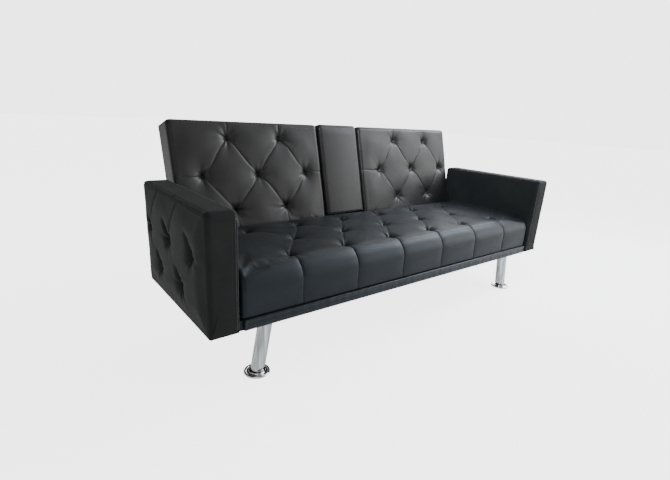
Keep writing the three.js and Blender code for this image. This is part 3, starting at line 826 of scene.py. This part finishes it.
def add_trim(material):
    """The padded band along the frame's front, with a welt round its top edge and ends."""
    low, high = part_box("front_trim")
    ends = np.array((0, 0.0025, 0.005, 0.0075, 0.010))
    middle = np.linspace(low.x + 0.018, high.x - 0.018, 200)
    along = np.concatenate([low.x + ends, middle, high.x - ends[::-1]])
    deep = np.concatenate([low.y + np.array((0, 0.002, 0.004, 0.006, 0.0085)), [low.y + 0.015, high.y]])
    block = Block((along, deep, lines_between(low.z, high.z, 0.0025)))
    points = rounded(block.grid, low, high, 0, (0.006, 0.0045, 0.004, 0.004), (0.003, 0.003))
    x, y, z = block.grid.T
    edge = np.minimum(np.minimum(high.x - x, x - low.x), high.z - z)
    pucker = 0.0005 * np.sin(61 * x + 2) * np.sin(37 * x) + 0.0003 * np.sin(173 * x)
    welt = 0.0016 * np.exp(-(((edge - 0.004) / 0.0028) ** 2))
    crown = 0.0014 * smoothstep(0.008, 0.02, edge) * smoothstep(0, 0.012, z - low.z)
    points[:, 1] -= np.where(block.on(1, 0), pucker + welt + crown, 0)
    lift = 0.0034 * smoothstep(0.008, 0.004, high.z - z) * smoothstep(0.0085, 0.0055, y - low.y)
    points[:, 2] += lift
    flat = np.where(block.on(1, 0)[:, None], np.column_stack([edge, edge]), FAR)

    def welt_seam(fine):
        return 0.0014 * np.exp(-(((fine[:, 0] - 0.0088) / 0.0013) ** 2))

    piece = finish_cover("trim_cover", points, block.quads, flat, welt_seam, material)
    assign(piece, "sofa_base", ["front_trim"])


def wrap(name, path, start, end, material):
    """A thin sheet that follows path and runs from start to end of the remaining axis."""
    rows = 14
    points, faces = [], []
    for row in range(rows):
        t = row / (rows - 1)
        slack = 0.0002 * math.sin(11 * t + 1)
        points += [Vector(p) + Vector(start).lerp(Vector(end), t) + Vector((0, -slack, 0)) for p in path]
    count = len(path)
    for row in range(rows - 1):
        base = row * count
        faces += [(base + c, base + c + 1, base + count + c + 1, base + count + c) for c in range(count - 1)]
    piece = to_object(name, [tuple(p) for p in points], faces)
    sheet = bmesh.new()
    sheet.from_mesh(piece.data)
    bmesh.ops.solidify(sheet, geom=sheet.faces[:], thickness=0.0005)
    bmesh.ops.recalc_face_normals(sheet, faces=sheet.faces[:])
    sheet.to_mesh(piece.data)
    sheet.free()
    piece.data.materials.append(material)
    return piece


def corner_path(side, start_x, centre, radius, end_y):
    """Along the front, round a corner about centre and back along the side of the sofa."""
    centre_x, centre_y = centre
    path = [(start_x, centre_y - radius)]
    for angle in np.linspace(0, math.pi / 2, 6):
        path.append((centre_x + radius * math.sin(angle), centre_y - radius * math.cos(angle)))
    path.append((centre_x + radius, end_y))
    return [(side * x, y, 0) for x, y in path]


def add_wraps(leather_material, cloth):
    """Leather round the front rail's ends and corners, and black cloth over rails that would show."""
    corners = (
        ("corner_wrap", "front_trim", 0.0108, 0.014, 0.003, 0.002, 0.056, 0),
        ("rail_wrap", "seat_front_rail", -0.002, 0.002, 0.0032, 0.03, 0.03, 0.001),
    )
    for name, node, out, back, radius, overlap, depth, below in corners:
        low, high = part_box(node)
        centre = (high.x + out, low.y + back)
        for side, label in SIDES:
            path = corner_path(side, high.x - overlap, centre, radius, low.y + depth)
            heights = (0, 0, low.z + 0.0005), (0, 0, high.z - below)
            piece = wrap(f"{name}_{label}", path, *heights, leather_material)
            assign(piece, "sofa_base")
    ends = ((-0.1262, 0, 0), (0.1262, 0, 0))
    over_bottom_rail = [(0, -0.0012, -0.025), (0, -0.0012, 0.0152), (0, 0.052, 0.0152)]
    over_bay_rail = [(0, 0.0525, 0.2388), (0, 0.0296, 0.2388), (0, 0.0296, 0.2812), (0, 0.0525, 0.2812)]
    low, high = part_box("seat_rear_rail")
    path = [(0, high.y - 0.005, low.z - 0.001), (0, high.y + 0.001, low.z - 0.001)]
    path += [(0, high.y + 0.001, high.z + 0.0022), (0, high.y - 0.005, high.z + 0.0022)]
    piece = wrap("rear_rail_cloth", path, (low.x, 0, 0), (high.x, 0, 0), cloth)
    assign(piece, "sofa_base")
    for name, path in (("bay_cloth_lower", over_bottom_rail), ("bay_cloth_upper", over_bay_rail)):
        piece = wrap(name, path, *ends, cloth)
        piece.data.transform(back_frame())
        assign(piece, "back")


# ---- arms ----

ARM_INNER, ARM_OUTER = 0.843, 0.940
ARM_DEPTH, ARM_BOTTOM, ARM_TOP = 0.596, 0.204, 0.589
ARM_PITCH, ARM_FIRST = 0.101, 0.116
ARM_MIDDLE, ARM_LOWER, ARM_SEAM = 0.434, 0.309, 0.580
STITCH_LINES = (0.004, 0.010)  # how far in from the boxing strip's edges it is topstitched


def arm_tufting(seed):
    first, p = ARM_FIRST, ARM_PITCH
    middle = [(first + 2 * k * p, ARM_MIDDLE) for k in range(3)]
    lower = [(first + p + 2 * k * p, ARM_LOWER) for k in range(2)]
    seams, folds = [], []
    for k in range(2):
        above = (lower[k][0], ARM_SEAM)
        seams += [(middle[k + 1], above, 1), (middle[k + 1], lower[k], 0.15)]
    for u, v in middle + lower:
        folds.append(((u, v), (u + 0.034, v + 0.066), 0.024, 0.010))
    for u, v in middle:
        folds.append(((u, v), (u + 0.026, v - 0.036), 0.017, 0.009))
    return Tufting(middle + lower, seams, seed, folds)


def add_arm(label, material, thread, seed):
    """Built as the right arm, outer side towards +x, and mirrored for the left."""
    edge_lines = np.arange(0, 0.021, 0.004)
    across = np.concatenate([
        ARM_INNER + edge_lines,
        np.linspace(ARM_INNER + 0.020, ARM_OUTER - 0.020, 11)[1:-1],
        ARM_OUTER - edge_lines[::-1],
    ])
    along = lines_between(0, ARM_DEPTH, ARM_PITCH / 20, through=ARM_FIRST)
    up = np.concatenate([
        lines_between(ARM_BOTTOM, ARM_LOWER, 0.0062)[:-1],
        np.linspace(ARM_LOWER, ARM_MIDDLE, 21)[:-1],
        np.linspace(ARM_MIDDLE, ARM_SEAM, 21),
        [ARM_SEAM + 0.0045, ARM_TOP],
    ])
    block = Block((across, along, up))
    low, high = (ARM_INNER, 0, ARM_BOTTOM), (ARM_OUTER, ARM_DEPTH, ARM_TOP)
    points = rounded(block.grid, low, high, 1, (0.006, 0.016, 0.004, 0.014), (0.014, 0.017))
    x, y, z = block.grid.T
    crisp_edge = 0.65 * smoothstep(0.02, 0, x - ARM_INNER) * smoothstep(0.01, 0.04, ARM_TOP - z)
    crisp = np.maximum(0.75 * smoothstep(0.035, 0, z - ARM_BOTTOM), crisp_edge)
    points += (block.grid - points) * (crisp * smoothstep(0.03, 0, y))[:, None]
    outer = block.on(0, 1)
    top, front = block.on(2, 1) & ~outer, block.on(1, 0) & ~outer
    flat = np.full((len(points), 2), FAR)
    flat[outer] = block.grid[outer][:, 1:]
    flat[top] = np.column_stack([y[top], ARM_TOP + (ARM_OUTER - x[top])])
    front &= ~top
    flat[front] = np.column_stack([-(ARM_OUTER - x[front]), z[front]])
    tufting = arm_tufting(seed)
    edge = np.minimum(np.minimum(y, ARM_DEPTH - y), np.minimum(ARM_TOP - z, z - ARM_BOTTOM))
    depth = tufting.valleys(flat, tuft_depth=0.025, reach=0.019, seam_depth=0.0016, seam_reach=0.012)
    bulge = 0.010 * smoothstep(0, 0.08, edge)
    depth = (depth - bulge) * smoothstep(0, 0.03, edge) * outer
    points -= normals_of(points, block.quads) * depth[:, None]
    points[outer, 1:] += tufting.sway(flat[outer], 0.006) * smoothstep(0, 0.04, edge[outer])[:, None]
    pin = tufting.pins(flat, seam_hold=0.3)
    pin[block.on(0, 0) | block.on(2, 0) | (x - ARM_INNER < 0.01)] = 1
    pin[(ARM_OUTER - x < 0.018) & (edge < 0.006)] = 1
    points = inflate(points, block.quads, pin, pressure=1.5, cap=0.006)

    def detail(fine):
        u, v = fine.T
        depth = tufting.stitched(fine, groove=0.0024, pinch=0.004, fold=0.0022)
        lines = [v - ARM_SEAM]
        for gap in STITCH_LINES:
            lines += [v - ARM_TOP - gap, v - ARM_TOP - (ARM_OUTER - ARM_INNER) + gap]
            lines.append(u + (ARM_OUTER - ARM_INNER) - gap)
        sewn = np.exp(-((np.min(np.abs(lines), axis=0) / 0.0014) ** 2))
        return depth + np.where(u < FAR / 2, 0.0012 * sewn, 0)

    points[:, 1] += behind_front(0)
    piece = finish_cover(f"arm_cover_{label}", points, block.quads, flat, detail, material)
    threads = stitch_rows(f"arm_topstitch_{label}", topstitch_rows(), piece, thread)
    for made in (piece, threads):
        if label == "left":
            made.data.transform(Matrix.Scale(-1, 4, (1, 0, 0)))
            made.data.flip_normals()
    assign(piece, "sofa_base", [f"arm_upholstery_{label}"])
    assign(threads, "sofa_base")


def topstitch_rows():
    """Paths near the arm's skin: along the top's two edges and down the front's inner one."""
    rows = []
    y_front, y_rear = behind_front(0), behind_front(ARM_DEPTH)
    for gap in STITCH_LINES:
        for x in (ARM_OUTER - gap, ARM_INNER + gap):
            rows.append([(x, y_front + 0.012, ARM_TOP), (x, y_rear - 0.012, ARM_TOP)])
        x = ARM_INNER + gap
        rows.append([(x, y_front, ARM_TOP - 0.012), (x, y_front, ARM_BOTTOM + 0.01)])
    return rows


def stitch_rows(name, rows, surface, material, pitch=0.0052, length=0.0038, thick=0.00055):
    """One mesh of thread: short raised stitches laid on the surface along each path."""
    tree = BVHTree.FromObject(surface, bpy.context.evaluated_depsgraph_get())
    rings = [(-1, 0.35), (-0.7, 0.9), (0, 1), (0.7, 0.9), (1, 0.35)]
    points, faces = [], []
    for start, end in rows:
        start, end = Vector(start), Vector(end)
        run = end - start
        forward = run.normalized()
        for k in range(int(run.length / pitch)):
            spot, normal, _, _ = tree.find_nearest(start + forward * (k + 0.5) * pitch)
            sideways = forward.cross(normal).normalized()
            first = len(points)
            for along, size in rings:
                middle = spot + forward * along * length / 2
                for step in range(6):
                    angle = step * math.pi / 3
                    radial = sideways * math.cos(angle) + normal * math.sin(angle)
                    points.append(middle + radial * thick * size)
            for ring in range(len(rings) - 1):
                a = first + ring * 6
                faces += [(a + s, a + (s + 1) % 6, a + 6 + (s + 1) % 6, a + 6 + s) for s in range(6)]
            faces.append([first + s for s in range(6)][::-1])
            faces.append([first + 6 * (len(rings) - 1) + s for s in range(6)])
    piece = to_object(name, points, faces)
    piece.data.shade_smooth()
    piece.data.materials.append(material)
    return piece


# ---- legs ----

FOOT_X, LEG_TOP_X, LEG_RADIUS = 0.7535, 0.7205, 0.0245
LEG_BOTTOM_Z, LEG_TOP_Z, PLATE_TOP = 0.0123, 0.2033, 0.2053


def lathe(name, profile, segments):
    """A profile of (radius, height) turned about z. Points on the axis become single ones."""
    points, rings = [], []
    for radius, height in profile:
        if radius == 0:
            rings.append([len(points)] * segments)
            points.append((0, 0, height))
            continue
        rings.append([len(points) + k for k in range(segments)])
        for k in range(segments):
            angle = 2 * math.pi * k / segments
            points.append((radius * math.cos(angle), radius * math.sin(angle), height))
    faces = []
    closed = profile[0][0] > 0
    pairs = list(zip(rings, rings[1:])) + ([(rings[-1], rings[0])] if closed else [])
    for a, b in pairs:
        for k in range(segments):
            n = (k + 1) % segments
            corners = [a[k], a[n], b[n], b[k]]
            face = list(dict.fromkeys(corners))
            if len(face) > 2:
                faces.append(face)
    return to_object(name, points, faces)


def smooth_by_angle(piece, degrees):
    piece.data.shade_smooth()
    mesh = bmesh.new()
    mesh.from_mesh(piece.data)
    for edge in mesh.edges:
        if edge.is_manifold and edge.calc_face_angle() > math.radians(degrees):
            edge.smooth = False
    mesh.to_mesh(piece.data)
    mesh.free()


def plate(name, half_x, half_y, bottom, top, corner):
    """A thin plate with rounded corners and eased edges."""
    sides, ease = 32, 0.0006
    outline = []
    for k in range(sides):
        angle = 2 * math.pi * (k + 0.5) / sides
        sx, sy = np.sign(math.cos(angle)), np.sign(math.sin(angle))
        outline.append((sx * (half_x - corner) + corner * math.cos(angle),
                        sy * (half_y - corner) + corner * math.sin(angle)))
    levels = [(ease, bottom), (0, bottom + ease), (0, top - ease), (ease, top)]
    points = [(x - math.copysign(e, x), y - math.copysign(e, y), z) for e, z in levels for x, y in outline]
    faces = [list(range(sides))[::-1], list(range(3 * sides, 4 * sides))]
    for first in range(0, 3 * sides, sides):
        for k in range(sides):
            a, b = first + k, first + (k + 1) % sides
            faces.append((a, b, b + sides, a + sides))
    return to_object(name, points, faces)


def add_legs(chrome, bright_chrome):
    for end, y in (("front", behind_front(0.063)), ("rear", behind_front(0.440))):
        for side, label in SIDES:
            r, wall = LEG_RADIUS, 0.0015
            profile = [(r - wall, LEG_BOTTOM_Z), (r - 0.0004, LEG_BOTTOM_Z), (r, LEG_BOTTOM_Z + 0.0006)]
            profile += [(r, h) for h in np.linspace(LEG_BOTTOM_Z + 0.02, LEG_TOP_Z - 0.004, 8)]
            profile += [(r + 0.0006, LEG_TOP_Z - 0.002), (r + 0.0016, LEG_TOP_Z), (r - wall, LEG_TOP_Z)]
            tube = lathe(f"leg_tube_{end}_{label}", profile, 72)
            height = LEG_TOP_Z - LEG_BOTTOM_Z
            lean = Matrix.Identity(4)
            lean[0][2] = side * (LEG_TOP_X - FOOT_X) / height
            lean[0][3] = side * FOOT_X - lean[0][2] * LEG_BOTTOM_Z
            lean[1][3] = y
            tube.data.transform(lean)
            top = plate("plate", 0.05, 0.029, LEG_TOP_Z - 0.001, PLATE_TOP, 0.008)
            top.data.transform(Matrix.Translation((side * 0.72, y, 0)))
            join([tube, top])
            smooth_by_angle(tube, 35)
            tube.data.materials.append(chrome)
            assign(tube, "sofa_base", [f"leg_{end}_{label}"])
            centre = sum(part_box(f"foot_flange_{end}_{label}"), Vector()) / 2
            rim = [(0.0258, 0.0026), (0.0405, 0.0024)]
            for angle in range(-40, 161, 20):
                a = math.radians(angle)
                rim.append((0.0405 + 0.005 * math.cos(a), 0.0058 + 0.005 * math.sin(a)))
            rim += [(0.034, 0.0072), (0.030, 0.0074), (0.0275, 0.0085), (0.0266, 0.0105), (0.0262, 0.0117)]
            rim.append((0.0258, 0.0118))
            flange = lathe(f"foot_cup_{end}_{label}", rim, 96)
            flange.data.transform(Matrix.Translation((centre.x, centre.y, 0)))
            smooth_by_angle(flange, 50)
            flange.data.materials.append(bright_chrome)
            assign(flange, "sofa_base", [f"foot_flange_{end}_{label}"])


def join(pieces):
    """Adds the later pieces' meshes to the first piece's."""
    whole = bmesh.new()
    for piece in pieces:
        whole.from_mesh(piece.data)
    whole.to_mesh(pieces[0].data)
    whole.free()
    for piece in pieces[1:]:
        bpy.data.objects.remove(piece)


# ---- the CAD nodes that stay in sight ----

def finish_frame_nodes():
    finishes = {
        "timber": wood("timber", (0.33, 0.21, 0.11), (0.47, 0.33, 0.19), (6, 60, 60)),
        "plywood": wood("plywood", (0.42, 0.29, 0.17), (0.55, 0.41, 0.26), (8, 8, 260)),
        "spring_steel": metal("spring_steel", (0.28, 0.29, 0.31), (0.35, 0.5)),
        "black_steel": metal("black_steel", (0.03, 0.03, 0.033), (0.4, 0.55)),
        "zinc_steel": metal("zinc_steel", (0.58, 0.59, 0.6), (0.28, 0.42)),
        "black_plastic": moulded_plastic("black_plastic", (0.012, 0.012, 0.013)),
        "dust_cloth": woven_cloth("dust_cloth", (0.012, 0.012, 0.013)),
    }
    for node in frame["nodes"].values():
        finish = finishes.get(node.data.materials[0].name.split(".")[0])
        if finish and not node.hide_render:
            node.data.materials[0] = finish
    return finishes


add_camera()
add_stage()
add_lights()
# The seat and trim get the back's black leather with a darker, bluish base and blue-tinted reflections:
# painted cool light from the front and right.
SEAT_DARK, SEAT_LIGHT, SEAT_PAINTED_BLUE_SHEEN = (0.0050, 0.0064, 0.0078), (0.0076, 0.0094, 0.0114), (0.74, 0.88, 1)
black = leather("back_leather", (0.0082, 0.0080, 0.0078), (0.0122, 0.0119, 0.0117),
                roughness=(0.38, 0.48), specular=0.34)
painted_blue_seat_leather = leather("seat_cover_leather", SEAT_DARK, SEAT_LIGHT,
               roughness=(0.38, 0.48), specular=0.24, painted_light_tint=SEAT_PAINTED_BLUE_SHEEN)
trim = leather("trim_leather", SEAT_DARK, SEAT_LIGHT,
               roughness=(0.32, 0.4), specular=0.27, painted_light_tint=SEAT_PAINTED_BLUE_SHEEN)
# The arms' leather has a lighter, greenish base and cyan-tinted reflections: painted light, the studio
# light's cast on the arms and a lift for their shaded inner faces.
arms = leather("arm_leather", (0.0110, 0.0120, 0.0120), (0.0155, 0.0166, 0.0164),
               roughness=(0.58, 0.68), specular=0.08, painted_light_tint=(0.9, 0.97, 1))
thread = moulded_plastic("thread", (0.09, 0.09, 0.095))
# The chrome's broad dark vertical streaks, from its coarse grain and low spread, are painted reflections.
chrome = metal("polished_chrome", (0.62, 0.655, 0.665), (0.05, 0.10), grain=(75, 75, 1.5), spread=0.45)
bright_chrome = metal("bright_chrome", (0.88, 0.9, 0.92), (0.03, 0.06))
add_back_panel("left", black, shift=0.013, seed=5)
add_back_panel("right", black, shift=0.034, seed=8)
add_rear_cover(black)
add_console(black)
add_seat(painted_blue_seat_leather)
add_trim(trim)
add_arm("left", arms, thread, seed=11)
add_arm("right", arms, thread, seed=14)
add_legs(chrome, bright_chrome)
shown = finish_frame_nodes()
add_cup_holders(shown["black_plastic"])
add_wraps(painted_blue_seat_leather, shown["dust_cloth"])
